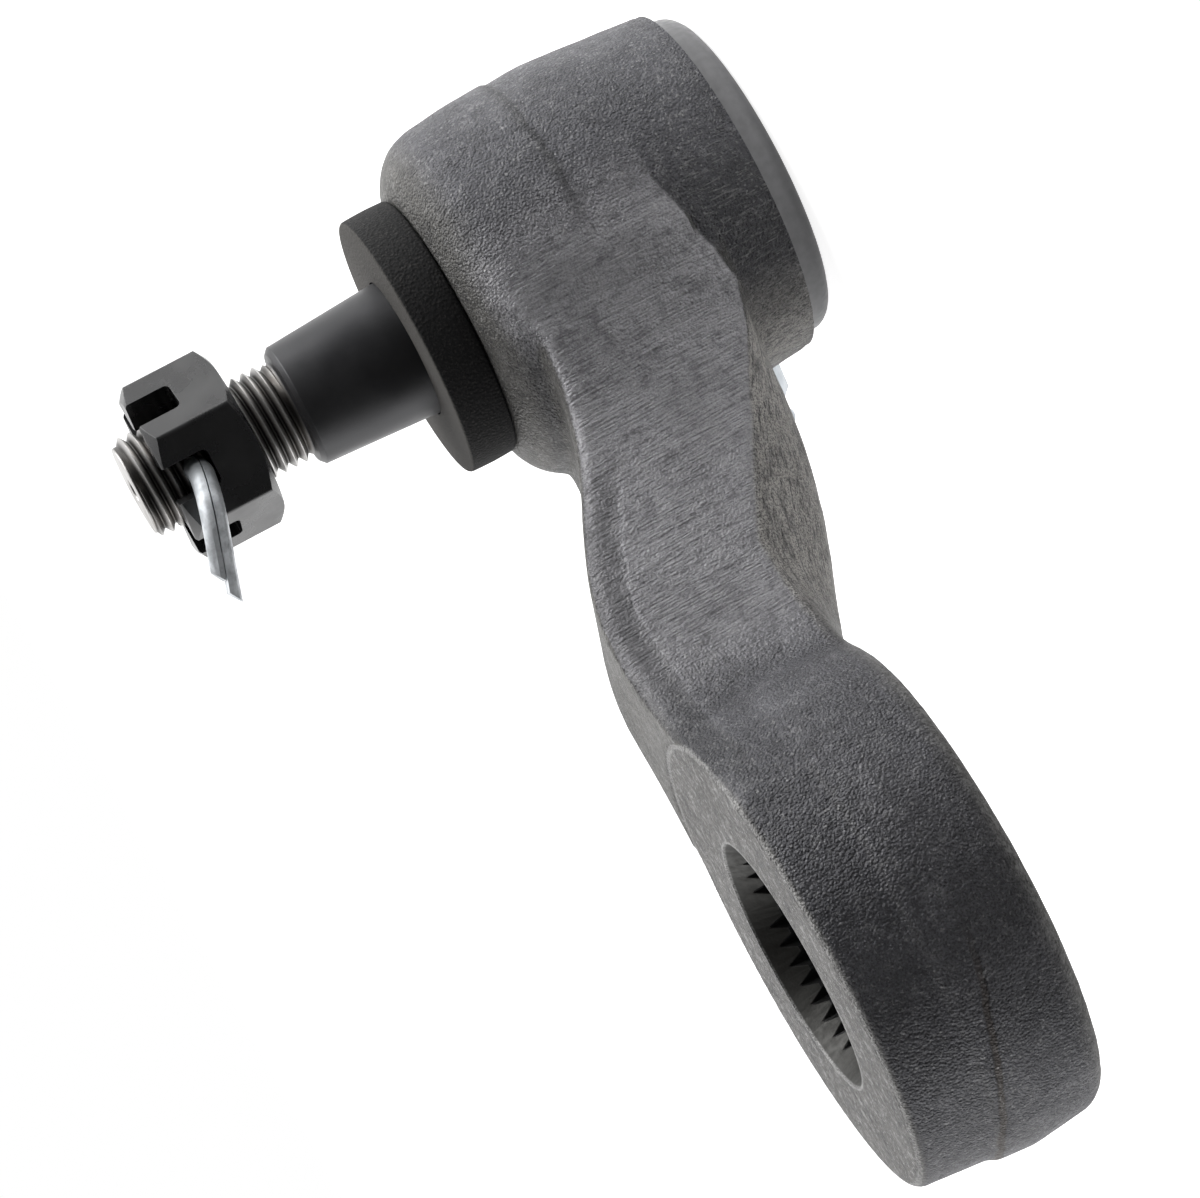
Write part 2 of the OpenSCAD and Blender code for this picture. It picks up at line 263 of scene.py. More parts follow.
def place(mat):
    return tool(mat, "ShaderNodeTexCoord").outputs["Object"]


def facing(mat):
    return tool(mat, "ShaderNodeTexCoord").outputs["Normal"]


def grain(mat, where, scale, detail=3.0, rough=0.55, stretch=None):
    if stretch:
        where = tool(mat, "ShaderNodeMapping", Vector=where, Scale=stretch).outputs[0]
    n = tool(mat, "ShaderNodeTexNoise", Vector=where, Scale=scale, Detail=detail, Roughness=rough)
    return n.outputs[0]


def calc(mat, how, a, b=0.0, c=0.0):
    n = tool(mat, "ShaderNodeMath", {"operation": how})
    for socket, value in zip(n.inputs, (a, b, c)):
        feed(mat, socket, value)
    return n.outputs[0]


def opposite(mat, share):
    return calc(mat, "SUBTRACT", 1.0, share)


def spoke(mat, x, y, axisX=0.0):
    # distance from an upright axis at axisX
    across = calc(mat, "SUBTRACT", x, axisX)
    square = calc(mat, "ADD", calc(mat, "MULTIPLY", across, across), calc(mat, "MULTIPLY", y, y))
    return calc(mat, "SQRT", square)


def band(mat, value, low, high, out0=0.0, out1=1.0, how="SMOOTHSTEP"):
    n = tool(
        mat, "ShaderNodeMapRange", {"interpolation_type": how},
        Value=value, From_Min=low, From_Max=high, To_Min=out0, To_Max=out1)
    return n.outputs[0]


def mixColour(mat, share, a, b):
    # the mix node's colour sockets are its sixth and seventh
    n = tool(mat, "ShaderNodeMix", {"data_type": "RGBA"})
    for index, value in ((0, share), (6, a), (7, b)):
        feed(mat, n.inputs[index], value)
    return n.outputs[2]


def axes(mat, vector):
    return tool(mat, "ShaderNodeSeparateXYZ", Vector=vector).outputs


def bumped(mat, height, strength, depth, below=None):
    n = tool(mat, "ShaderNodeBump", Height=height, Strength=strength, Distance=depth)
    if below is not None:
        mat.node_tree.links.new(below, n.inputs["Normal"])
    return n.outputs[0]


def dress(mat, **sockets):
    shader = mat.node_tree.nodes["Principled BSDF"]
    for key, value in sockets.items():
        feed(mat, shader.inputs[key.replace("_", " ")], value)


def wear(obj, mat):
    obj.data.materials.clear()
    obj.data.materials.append(mat)


# forging: blasted dark steel, cool on the sheared walls, warmer on the faces
forgingLook = {
    "cool": (0.130, 0.130, 0.144),
    "warm": (0.168, 0.163, 0.152),
    # web, webTop and back: painted light, colours far paler than the forging's own steel so that the web's wall
    # and back look lit
    "web": (0.455, 0.449, 0.470),
    "webTop": (0.560, 0.552, 0.578),
    "back": (0.600, 0.575, 0.545),
    # dark: the steel's own darker tone, also used as painted shade below the ledge and at the flash line
    "darkToneAndPaintedShade": (0.060, 0.060, 0.063),
    "bore": (0.011, 0.011, 0.011),
    "lead": (0.045, 0.044, 0.040),
    "machined": (0.128, 0.122, 0.114),
    "worn": (0.55, 0.545, 0.54),
    "seam": (0.075, 0.058, 0.044),
    "seamCurve": 4.6,  # per m
    "roughness": 0.52,
    "metal": 0.35,
}


def forgingFinish():
    s = forgingLook
    mat = newFinish("forgedSkin")
    p = place(mat)
    x, y, z = axes(mat, p)
    _, ny, nz = axes(mat, facing(mat))
    flat = calc(mat, "ABSOLUTE", nz)
    side = calc(mat, "ABSOLUTE", ny)
    boss = spoke(mat, x, y)

    def mul(*values):
        out = values[0]
        for value in values[1:]:
            out = calc(mat, "MULTIPLY", out, value)
        return out

    def step(value, low, high, *outs):
        return band(mat, value, low, high, *outs)

    def along(value, low, high, *outs):
        # the same with low and high in mm
        return band(mat, value, low * mm, high * mm, *outs)

    def level(low, high, *outs):
        # the same on heights, in mm from the boss's face
        return band(mat, z, height(low), height(high), *outs)

    def height(mmUp):
        return (faceZ + mmUp) * mm

    def past(line, waver):
        # how far above a line that wavers by a few tenths of a mm
        return calc(mat, "ADD", calc(mat, "SUBTRACT", z, line), mul(wander, waver * mm))

    fine = grain(mat, p, 3700, 2, 0.65)
    pebble = grain(mat, p, 1050, 5, 0.62)
    patch = step(grain(mat, p, 85, 2), 0.38, 0.62, 0.5, 1.15)
    mottle = grain(mat, p, 70, 4, 0.6)
    fleck = grain(mat, p, 480, 3, 0.7)
    speck = grain(mat, p, 2300, 1, 0.4)
    sheared = grain(mat, p, 1.0, 4, 0.6, (3400, 2400, 380))
    lines = grain(mat, p, 1.0, 3, 0.6, (1500, 900, 60))
    streaks = grain(mat, p, 1.0, 4, 0.65, (260, 2400, 900))
    wander = calc(mat, "SUBTRACT", grain(mat, p, 260, 4, 0.6), 0.5)
    grit = tool(
        mat, "ShaderNodeTexVoronoi", {"feature": "SMOOTH_F1"},
        Vector=p, Scale=2600.0, Smoothness=0.25).outputs["Distance"]

    # the crease between the web's wall and its back, which runs on up the housing
    crease = along(x, 46.2, 76, height(-22.5), height(-37.9), "LINEAR")
    crease = calc(mat, "ADD", crease, along(x, 78, 92, 0.0, 3.7 * mm, "LINEAR"))
    over = past(crease, 0.8)
    wall = along(over, -0.3, 0.3)
    under = opposite(mat, wall)
    onWeb = mul(along(boss, 30, 43), along(x, 101, 84))
    webWall = mul(onWeb, wall, step(side, 0.5, 0.8))
    webBack = mul(onWeb, under, along(x, 80, 75))
    creaseWear = mul(along(calc(mat, "ABSOLUTE", over), 0.6, 0.1), onWeb, along(x, 72, 56))
    shear = mul(webWall, step(side, 0.6, 0.85))
    # painted shade on the wall below the ledge, and a painted shadow at the flash line's foot
    below = mul(under, along(x, 74, 77), along(x, 94, 88))
    offFlash = past(height(-24.6), 1.2)
    flash = mul(along(offFlash, -0.2, 0.1), along(offFlash, 2.2, 0.1), along(x, 87, 99))
    # the shear left a ragged line along the front corner
    trim = along(x, 42.5, 80.3, height(-4.9), height(-17.0))
    corner = mul(along(past(trim, 2), -0.1, 0.2), along(x, 10, 18), along(x, 72, 58), step(side, 0.3, 0.6))
    # draw marks near the housing's end
    marks = mul(along(x, 72, 76), along(x, 100, 88), level(-36, -40), step(sheared, 0.52, 0.66))
    # machined front of the boss, its worn edges, the lead-in, and the bore, painted near-black as shade inside the
    # hole
    front = mul(along(boss, 31.2, 30.6), level(-0.5, -0.1), step(nz, 0.8, 0.95))
    edge = mul(along(boss, 29.6, 30.0), along(boss, 30.7, 30.4), level(-0.7, -0.3))
    mouth = mul(along(boss, 17.3, 17.0), level(-0.4, -0.15))
    edge = mul(calc(mat, "MAXIMUM", edge, mouth), step(fine, 0.38, 0.6, 0.25, 1.0))
    rear = mul(level(-23.1, -24.2), along(boss, 29.5, 30.5), along(boss, 36, 34), step(pebble, 0.42, 0.62))
    cone = level(-4, 0, 15 * mm, 16.8 * mm, "LINEAR")
    lead = along(calc(mat, "ABSOLUTE", calc(mat, "SUBTRACT", boss, cone)), 0.14, 0.07)
    lead = mul(lead, level(-4.05, -3.9))
    bore = mul(along(boss, 16.85, 16.7), opposite(mat, lead))
    # brown seam, low on the boss's wall and curving to its back
    fromSeam = calc(mat, "SUBTRACT", 5 * mm, y)
    seamZ = calc(mat, "SUBTRACT", height(-10.1), mul(s["seamCurve"], fromSeam, fromSeam))
    offSeam = calc(mat, "ABSOLUTE", past(seamZ, 1.2))
    seam = mul(along(offSeam, 0.6, 0.2), along(x, -14, -24), along(boss, 31, 32))
    # the machined bore has none of the forging's roughness
    calm = step(calc(mat, "MAXIMUM", lead, bore), 0.0, 1.0, 1.0, 0.05)

    # colours, laid one over the other
    tint = mixColour(mat, step(flat, 0.25, 0.85), s["cool"], s["warm"])
    # painted light: the web's wall paler still towards the housing
    webTint = mixColour(mat, along(x, 58, 80), s["web"], s["webTop"])
    layers = [
        # painted light on the web's wall and on its back
        (webWall, webTint),
        (webBack, s["back"]),
        (mul(webBack, step(streaks, 0.54, 0.36, 0.0, 0.75)), s["darkToneAndPaintedShade"]),
        # painted shade below the ledge and painted shadow at the flash line's foot
        (mul(below, 0.4), s["darkToneAndPaintedShade"]),
        (mul(flash, 0.75), s["darkToneAndPaintedShade"]),
        (mul(corner, 0.45), s["darkToneAndPaintedShade"]),
        (step(mottle, 0.42, 0.68, 0.0, 0.18), s["darkToneAndPaintedShade"]),
        (mul(shear, step(sheared, 0.52, 0.36, 0.0, 0.3)), s["darkToneAndPaintedShade"]),
        (mul(shear, step(lines, 0.46, 0.34, 0.0, 0.16)), s["darkToneAndPaintedShade"]),
        (front, s["machined"]),
        (mul(step(fleck, 0.50, 0.34), step(front, 0.0, 1.0, 0.35, 0.85)), s["darkToneAndPaintedShade"]),
        (mul(step(fleck, 0.52, 0.68), step(front, 0.0, 1.0, 0.15, 0.45)), s["worn"]),
        (mul(step(fine, 0.56, 0.36), step(shear, 0.0, 1.0, 0.7, 0.3)), s["darkToneAndPaintedShade"]),
        (mul(marks, 0.35), s["worn"]),
        (mul(creaseWear, step(fine, 0.4, 0.65, 0.05, 0.6)), s["worn"]),
        (lead, s["lead"]),
        # painted shade: the bore near-black inside the hole
        (bore, s["bore"]),
        (mul(edge, 0.55), s["worn"]),
        (mul(rear, 0.4), s["worn"]),
        (mul(seam, 0.65), s["seam"]),
        (mul(step(speck, 0.60, 0.74), calm, step(front, 0.0, 1.0, 0.3, 0.6)), s["worn"]),
    ]
    for share, colour in layers:
        tint = mixColour(mat, share, tint, colour)

    # relief, each with its strength and its depth in mm
    rough = step(pebble, 0.3, 0.7, s["roughness"] - 0.08, s["roughness"] + 0.08)
    skin = mul(step(shear, 0.0, 1.0, 1.0, 0.4), calm, patch)
    reliefs = [
        (mul(pebble, skin), 0.9, 0.36),
        (mul(grit, skin, -1.0), 0.9, 0.34),
        (mul(fine, skin), 0.9, 0.28),
        (mul(sheared, calc(mat, "MAXIMUM", shear, marks)), 0.9, 0.30),
        (mul(lines, shear), 0.9, 0.20),
        (mul(streaks, webBack), 0.9, 0.40),
        (mul(seam, -1.0), 0.8, 0.30),
    ]
    normal = None
    for relief, strength, depth in reliefs:
        normal = bumped(mat, relief, strength, depth * mm, normal)
    dress(mat, Base_Color=tint, Metallic=s["metal"], Roughness=rough, Normal=normal)
    return mat


forging = forgingFinish()

# forging: the CAD arm, plugged, reskinned so that its blends flow, then cut open again
armSet = {
    # all in mm, but for the two counts of smoothing rounds
    "skin": 0.6,
    "evenOut": 4,
    "flow": 60,
    "dentSize": 3.2,
    "dentDepth": 0.14,
    "rimCut": -46.9,
    "endRadius": 24.12,
    "endInside": 22.6,
    "ledge": 0.6,
    "flash": 0.3,
    "trim": 0.35,
    "bossBack": -25.5,
    "leadDepth": 4,
    "leadFlare": 0.45,
    "cavity": [
        (0, -53), (20.4, -53), (20.4, -46.6), (19, -46.6), (19, -31.4), (15.15, -31.4), (15.15, -27),
        (14.6, -23), (13.1, -19.4), (10.75, -16.33), (16, -6.2), (16.6, -5), (0, -5)],
}


def shapeSteps(arm):
    # small steps that forging and trimming left, as pushes along the skin's normals
    s = armSet
    co = coords(arm)
    normals = np.empty(len(co) * 3, np.float32)
    arm.data.vertices.foreach_get("normal", normals)
    normals = normals.reshape(-1, 3)
    x, y, z = co[:, 0], co[:, 1], co[:, 2] - faceZ
    wander = np.sin(x * 0.9 + 1) * np.sin(y * 0.7) + 0.6 * np.sin(x * 2.3 + y * 1.9)
    # ledge where the web's back crease runs on up the housing
    crease = -22.5 - 15.4 * np.clip((x - 46.2) / 29.8, 0, 1) + 0.264 * np.clip(x - 78, 0, 14)
    over = z - crease + 0.2 * wander
    ledge = ease(over, -0.4, 0.4) * ease(over, 11, 2)
    ledge = ledge * ease(x, 75, 80) * ease(x, 93, 86) * ease(np.abs(y), 8, 12)
    # flash line round the housing
    flash = ease(z + 24.3 + 0.2 * wander, -0.25, 0.25) * ease(z, -14, -19) * ease(x, 84, 90)
    # the shear's ragged line along the web's front corner
    front = 0.3 - 12.1 * ease(x, 42.5, 80.3)
    past = ease(z - front + 4.9 + 0.35 * wander, -0.25, 0.25)
    trim = past * ease(x, 10, 18) * ease(x, 66, 54)
    trim = trim * ease(np.abs(y), 9, 12) * ease(np.abs(normals[:, 1]), 0.3, 0.7)
    push = s["ledge"] * ledge + s["flash"] * flash - s["trim"] * trim
    co += normals * push[:, None]
    # square end of the housing
    reach = np.hypot(co[:, 0] - studX, y)
    square = ease(z, -45.9, -46.4) * (reach > s["endInside"])
    grow = 1 + square * (s["endRadius"] / np.maximum(reach, 1) - 1)
    co[:, 0] = studX + (co[:, 0] - studX) * grow
    co[:, 1] *= grow
    # no push goes past the solids' box at its high x end
    co[:, 0] = np.minimum(co[:, 0], cadBox[1][0] / mm)
    setCoords(arm, co)


def makeArm():
    s = armSet
    arm = copyOf("pitman_arm", "armForging")
    plugs = [
        rod("borePlug", 0, s["bossBack"], 0, 17.4),
        rod("mouthPlug", studX, -51, -6.2, 16.9),
        rod("cavityPlug", studX, -49.6, -30, 21.2),
    ]
    joinInto(arm, plugs)
    skin = arm.modifiers.new("skin", "REMESH")
    skin.mode = "VOXEL"
    skin.voxel_size = s["skin"] * mm
    bakeModifiers(arm)
    editAll(arm)
    bpy.ops.mesh.bisect(
        plane_co=(0, 0, (s["rimCut"] + faceZ) * mm), plane_no=(0, 0, 1), clear_inner=True, use_fill=True)
    leaveEdit()
    print("arm skin", len(arm.data.vertices), "points")

    co = coords(arm)
    x, y, z = co[:, 0], co[:, 1], co[:, 2] - faceZ
    boss = np.hypot(x, y)
    housing = np.hypot(x - studX, y)
    machined = ease(z, -1.6, -0.6) * ease(boss, 31.6, 31.0)
    ends = ease(z, -45.4, -46.2) + ease(z, -6.9, -6.4) * ease(housing, 19.5, 18.5)
    free = np.clip(1 - machined - ends, 0, 1)
    weigh(arm, "wall", free)
    sides = ease(np.abs(y), 10, 15) * ease(z, -14, -18)
    atHousing = np.exp(-((x - studX + 10) / 4.5) ** 2) * sides * ease(z, -37.0, -32.0)
    atBoss = ease(boss, 29.5, 32) * ease(boss, 41, 35) * ease(x, 8, 16) * ease(z, -2.2, -4.5) * 0.4
    weigh(arm, "blend", np.maximum(atHousing, atBoss) * free)
    weigh(arm, "rough", free * ease(z, -1.0, -3.0))

    for name, group in (("flow", "blend"), ("evenOut", "wall")):
        smooth = arm.modifiers.new(name, "SMOOTH")
        smooth.factor = 0.5
        smooth.iterations = s[name]
        smooth.vertex_group = group
    clouds = bpy.data.textures.new("hammerDents", "CLOUDS")
    clouds.noise_scale = s["dentSize"] * mm
    clouds.noise_depth = 2
    dents = arm.modifiers.new("dents", "DISPLACE")
    dents.texture = clouds
    dents.texture_coords = "LOCAL"
    dents.mid_level = 0.5
    dents.strength = s["dentDepth"] * mm
    dents.vertex_group = "rough"
    bakeModifiers(arm)
    arm.vertex_groups.clear()
    shapeSteps(arm)
    print("arm skin smoothed and stepped")

    cut(arm, splineTool())
    crest = splineSet["crest"]
    leadMouth = crest + s["leadFlare"] * (s["leadDepth"] + 1)  # 1 mm beyond the face
    cut(arm, rod("leadTool", 0, -s["leadDepth"], 1, crest, r2=leadMouth))
    cut(arm, rod("backTool", 0, s["bossBack"] - 1, s["bossBack"] + 1, crest + 2, r2=crest))
    cut(arm, turned("cavityTool", s["cavity"]))
    cut(arm, fittingTool())
    smoothShade(arm, 32)
    wear(arm, forging)
    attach(arm, "arm")
    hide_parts("pitman_arm")
    print("arm cut,", len(arm.data.polygons), "faces")


# spline: four points to each groove, every ninth place left blind; half widths in degrees
splineSet = {
    "positions": 36,
    "blinds": 4,
    "firstBlind": 4,
    "crest": 15.0,
    "root": 15.95,
    "rootHalf": 0.43,
    "mouthHalf": 3.9,
}


def splineTool():
    s = splineSet
    corners = 4 * s["positions"]
    obj = rod("splineTool", 0, armSet["bossBack"] - 1, 1, s["crest"], corners)
    co = coords(obj)
    around = np.degrees(np.arctan2(co[:, 1], co[:, 0])) % 360
    order = np.round(around * corners / 360).astype(int) % corners
    offsets = np.array([-s["mouthHalf"], -s["rootHalf"], s["rootHalf"], s["mouthHalf"]])
    groove = order // 4
    which = order % 4
    isOpen = (groove % (s["positions"] // s["blinds"])) != s["firstBlind"]
    angle = np.radians(groove * 360 / s["positions"] + offsets[which])
    r = np.where(isOpen & ((which == 1) | (which == 2)), s["root"], s["crest"])
    co[:, 0] = r * np.cos(angle)
    co[:, 1] = r * np.sin(angle)
    setCoords(obj, co)
    return obj


# the nipple's spot face and hole, square to the housing's wall
fittingSet = {"turn": 132, "z": -40.3, "face": 24.3, "spot": 4.9, "hole": 3.06}


def fittingTool():
    s = fittingSet
    out = Vector((math.cos(math.radians(s["turn"])), math.sin(math.radians(s["turn"])), 0))
    lie = out.to_track_quat("Z", "Y").to_euler()
    middle = Vector((studX, 0, faceZ + s["z"]))
    tools = []
    for r, start, end in ((s["spot"], s["face"], 30), (s["hole"], 18, 25)):
        deselectAll()
        bpy.ops.mesh.primitive_cylinder_add(
            vertices=48, radius=r * mm, depth=(end - start) * mm, rotation=lie,
            location=(middle + out * (start + end) / 2) * mm)
        tools.append(named("spotTool"))
        bakePlace(tools[-1])
    cut(tools[0], tools[1], "UNION")
    return tools[0]


makeArm()

# rim: turned smooth and swaged in over the cover
rimLook = {"colour": (0.225, 0.225, 0.23), "dull": (0.17, 0.17, 0.175), "roughness": 0.36}


def rimFinish():
    s = rimLook
    mat = newFinish("turnedRim")
    p = place(mat)
    rings = grain(mat, p, 1.0, 3, 0.5, (60, 60, 2500))
    fine = grain(mat, p, 900, 3)
    tint = mixColour(mat, band(mat, fine, 0.3, 0.7, 0.0, 0.3), s["colour"], s["dull"])
    rough = band(mat, fine, 0.3, 0.7, s["roughness"] - 0.05, s["roughness"] + 0.08)
    normal = bumped(mat, rings, 0.25, 0.00004)
    dress(mat, Base_Color=tint, Metallic=0.6, Roughness=rough, Normal=normal)
    return mat


rim = turned("swagedRim", [
    (20.35, -49.05), (20.35, -46.5), (22.75, -46.5), (22.7, -51.0, 2.6), (16.0, -51.0, 0.5), (16.0, -49.05),
    (20.35, -49.05)])
smoothShade(rim, 40)
wear(rim, rimFinish())
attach(rim, "arm")
print("rim turned")

# end cover: pressed steel disc with a shallow dish
coverLook = {"colour": (0.11, 0.11, 0.115), "dull": (0.07, 0.068, 0.066), "roughness": 0.42}


def coverFinish():
    s = coverLook
    mat = newFinish("pressedCover")
    p = place(mat)
    fine = grain(mat, p, 700, 4)
    blot = grain(mat, p, 90, 4)
    tint = mixColour(mat, band(mat, blot, 0.35, 0.7, 0.0, 0.5), s["colour"], s["dull"])
    rough = band(mat, blot, 0.3, 0.7, s["roughness"] - 0.08, s["roughness"] + 0.1)
    dress(mat, Base_Color=tint, Metallic=0.8, Roughness=rough, Normal=bumped(mat, fine, 0.3, 0.00006))
    return mat


cover = turned("pressedCover", [
    (0, -48.0), (10, -48.0, 0.8), (12, -46.6, 0.8), (20.3, -46.6), (20.3, -49.0), (13, -49.0, 1.2),
    (11, -50.4, 1.2), (0, -50.4)])
smoothShade(cover, 40)
wear(cover, coverFinish())
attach(cover, "arm")
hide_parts("end_cover")
print("cover pressed")

# stud: phosphated taper, bare thread
studLook = {
    "coat": (0.040, 0.040, 0.043),
    "bare": (0.50, 0.49, 0.48),
    "groove": (0.07, 0.067, 0.064),
    "coatPale": (0.058, 0.058, 0.061),
    "stain": (0.16, 0.14, 0.12),
}


def studFinish():
    s = studLook
    mat = newFinish("studSteel")
    p = place(mat)
    x, y, z = axes(mat, p)
    r = spoke(mat, x, y, studX * mm)
    fine = grain(mat, p, 800, 3)
    blot = grain(mat, p, 120, 4, 0.6)
    rings = grain(mat, p, 1.0, 2, 0.5, (80, 80, 2600))
    bare = band(mat, z, (17.2 + faceZ) * mm, (17.5 + faceZ) * mm)
    crest = band(mat, r, 0.00625, 0.0069)
    tip = band(mat, z, (39.9 + faceZ) * mm, (40.15 + faceZ) * mm)
    crest = calc(mat, "MAXIMUM", crest, tip)
    coat = mixColour(mat, band(mat, blot, 0.35, 0.7, 0.0, 0.6), s["coat"], s["coatPale"])
    steel = mixColour(mat, crest, s["groove"], s["bare"])
    steel = mixColour(mat, band(mat, blot, 0.42, 0.7, 0.0, 0.4), steel, s["stain"])
    tint = mixColour(mat, bare, coat, steel)
    rough = band(mat, blot, 0.3, 0.7, 0.34, 0.46)
    normal = bumped(mat, rings, 0.2, 0.00004)
    normal = bumped(mat, fine, 0.15, 0.00004, normal)
    metal = band(mat, bare, 0.0, 1.0, 0.45, 0.95)
    dress(mat, Base_Color=tint, Metallic=metal, Roughness=rough, Normal=normal)
    return mat


threadSet = {
    "pitch": 1.5,
    "crest": 7.0,
    "root": 6.12,
    "end": 6.1,  # radius at both ends
    "core": 5.6,  # radius of what is hidden in the stud
    "from": 17.3,
    "to": 40.2,
    "steps": 72,
}


def makeThread():
    s = threadSet
    pitch = s["pitch"]
    root, crest = s["root"], s["crest"]
    # one turn's outline, as radius and share of the pitch
    rise = [(root, 0), (root, 0.06), (crest, 0.46), (crest, 0.56), (root, 0.96), (root, 1.0)]
    turns = math.ceil((s["to"] - s["from"]) / pitch) + 1
    obj = drawLine("thread", [(r * mm, 0, u * pitch * mm) for r, u in rise])
    screw = obj.modifiers.new("screw", "SCREW")
    screw.angle = 2 * math.pi
    screw.screw_offset = pitch * mm
    screw.iterations = turns
    screw.steps = s["steps"]
    screw.render_steps = s["steps"]
    screw.use_merge_vertices = True
    screw.merge_threshold = weld
    bakeModifiers(obj)
    co = coords(obj)
    r = np.hypot(co[:, 0], co[:, 1])
    z = co[:, 2] + s["from"] - 1.1 * pitch
    # run out at the taper and chamfer at the tip
    limit = np.minimum(s["end"] + 0.9 * np.clip((z - s["from"]) / 0.9, 0, 1), crest)
    limit = np.minimum(limit, s["end"] + np.clip(s["to"] - z, 0, 1))
    new = np.where(z < s["from"], s["core"], np.maximum(np.minimum(r, limit), s["core"]))
    co[:, 0] *= new / r
    co[:, 1] *= new / r
    co[:, 0] += studX
    co[:, 2] = np.clip(z, s["from"] - 0.5, s["to"] - 0.3) + faceZ
    setCoords(obj, co)
    editAll(obj)
    bpy.ops.mesh.remove_doubles(threshold=weld)
    bpy.ops.mesh.normals_make_consistent(inside=False)
    leaveEdit()
    return obj


def makeStud():
    body = turned("ballStud", [
        (0, -39), (3.1, -38.6), (6, -37.4), (8.5, -35.5), (10.4, -33), (11.58, -30.15, 0.3), (7, -30.15),
        (7, -13, 1.5), (8, -7, 2), (8.9, -4, 2), (9.583, -1.8, 0.6), (8.45, 16.35, 0.25), (7.75, 17.0, 0.2),
        (6.7, 17.2, 0.2), (6.12, 17.9), (6.12, 39.9), (6.1, 40.2, 0.1), (1.7, 40.2, 0.12), (0, 37.5)])
    cut(body, pinTool())
    joinInto(body, [makeThread()])
    smoothShade(body, 30)
    wear(body, studFinish())
    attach(body, "stud")
    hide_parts("ball_stud")
    print("stud turned and threaded")


nutSet = {
    "turn": -128,
    "flats": 22.0,
    "height": 12.5,
    "z": 24.0,
    "slot": 5.0,
    "slotDepth": 6.2,
    "slotRound": 0.8,
    "pinRise": 1.9,
    "pinHole": 1.95,
    "soft": 0.45,
    "bore": 7.03,
    "chamferFrom": 10.9,
    "coneFrom": 11.1,
    "chamfer": 38,
}


def pinTool():
    # the cross hole lines up with the nut's slots
    s = nutSet
    deselectAll()
    along = Vector((math.cos(math.radians(s["turn"])), math.sin(math.radians(s["turn"])), 0))
    z = s["z"] + s["height"] - s["slotDepth"] + s["pinRise"] + faceZ
    bpy.ops.mesh.primitive_cylinder_add(
        vertices=32, radius=s["pinHole"] * mm, depth=26 * mm,
        rotation=along.to_track_quat("Z", "Y").to_euler(), location=(studX * mm, 0, z * mm))
    obj = named("pinHole")
    bakePlace(obj)
    return obj


makeStud()

# castle nut: black oxide, slots across all six flats
nutLook = {
    "colour": (0.010, 0.010, 0.011),
    "worn": (0.022, 0.022, 0.023),
    "roughness": 0.28,
    "gloss": 1.7,
}


def nutFinish():
    s = nutLook
    mat = newFinish("blackOxide")
    p = place(mat)
    fine = grain(mat, p, 1300, 3)
    blot = grain(mat, p, 160, 4, 0.6)
    tint = mixColour(mat, band(mat, blot, 0.45, 0.72, 0.0, 0.35), s["colour"], s["worn"])
    rough = band(mat, blot, 0.3, 0.7, s["roughness"] - 0.05, s["roughness"] + 0.1)
    normal = bumped(mat, fine, 0.12, 0.00005)
    dress(mat, Base_Color=tint, Metallic=0.0, IOR=s["gloss"], Roughness=rough, Normal=normal)
    return mat


def makeNut():
    s = nutSet
    corner = s["flats"] / 2 / math.cos(math.pi / 6)
    z0, z1 = s["z"], s["z"] + s["height"]
    nut = rod("castleNut", studX, z0 - 2, z1 + 2, corner, 6)
    turn = math.radians(s["turn"] + 60)  # the new prism has a corner on +Y
    co = coords(nut)
    dx, dy = co[:, 0] - studX, co[:, 1].copy()
    co[:, 0] = studX + dx * math.cos(turn) - dy * math.sin(turn)
    co[:, 1] = dx * math.sin(turn) + dy * math.cos(turn)
    setCoords(nut, co)
    edges = nut.modifiers.new("edges", "BEVEL")
    edges.width = s["soft"] * mm
    edges.segments = 4
    bakeModifiers(nut)
    cone = (corner - s["coneFrom"]) * math.tan(math.radians(s["chamfer"]))
    wide = corner + 0.25
    chamfer = turned("chamferTool", [
        (0, z0), (s["chamferFrom"], z0, 0.4), (wide, z0 + cone + 0.15), (wide, z1 - cone - 0.15),
        (s["chamferFrom"], z1, 0.4), (0, z1)], steps=120)
    cut(nut, chamfer, "INTERSECT")
    cut(nut, rod("boreTool", studX, z0 - 1, z1 + 1, s["bore"]))
    for k in range(3):
        deselectAll()
        bpy.ops.mesh.primitive_cube_add(
            size=1, location=(studX * mm, 0, (z1 - s["slotDepth"] + 5 + faceZ) * mm),
            rotation=(0, 0, math.radians(s["turn"] + 60 * k)), scale=(30 * mm, s["slot"] * mm, 10 * mm))
        slotTool = named("slotTool")
        bakePlace(slotTool)
        foot = slotTool.modifiers.new("foot", "BEVEL")
        foot.width = s["slotRound"] * mm
        foot.segments = 4
        bakeModifiers(slotTool)
        cut(nut, slotTool)
    editAll(nut)
    bpy.ops.mesh.remove_doubles(threshold=0.000006)
    bpy.ops.mesh.dissolve_limited(angle_limit=math.radians(1.0))
    leaveEdit()
    soft = nut.modifiers.new("soft", "BEVEL")
    soft.width = s["soft"] * mm
    soft.segments = 3
    soft.limit_method = "ANGLE"
    soft.angle_limit = math.radians(28)
    soft.use_clamp_overlap = True
    bakeModifiers(nut)
    smoothShade(nut, 40)
    flats = nut.modifiers.new("flats", "WEIGHTED_NORMAL")
    flats.keep_sharp = True
    flats.weight = 100
    bakeModifiers(nut)
    wear(nut, nutFinish())
    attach(nut, "stud")
    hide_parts("castle_nut")
    print("nut slotted")


makeNut()

# cotter pin: bright zinc wire
cotterLook = {
    "colour": (0.80, 0.83, 0.86),
    "dull": (0.42, 0.44, 0.46),
    # stain: painted shade of the nut's slot on the pin
    "stain": (0.16, 0.17, 0.18),
    "roughness": 0.46,
}


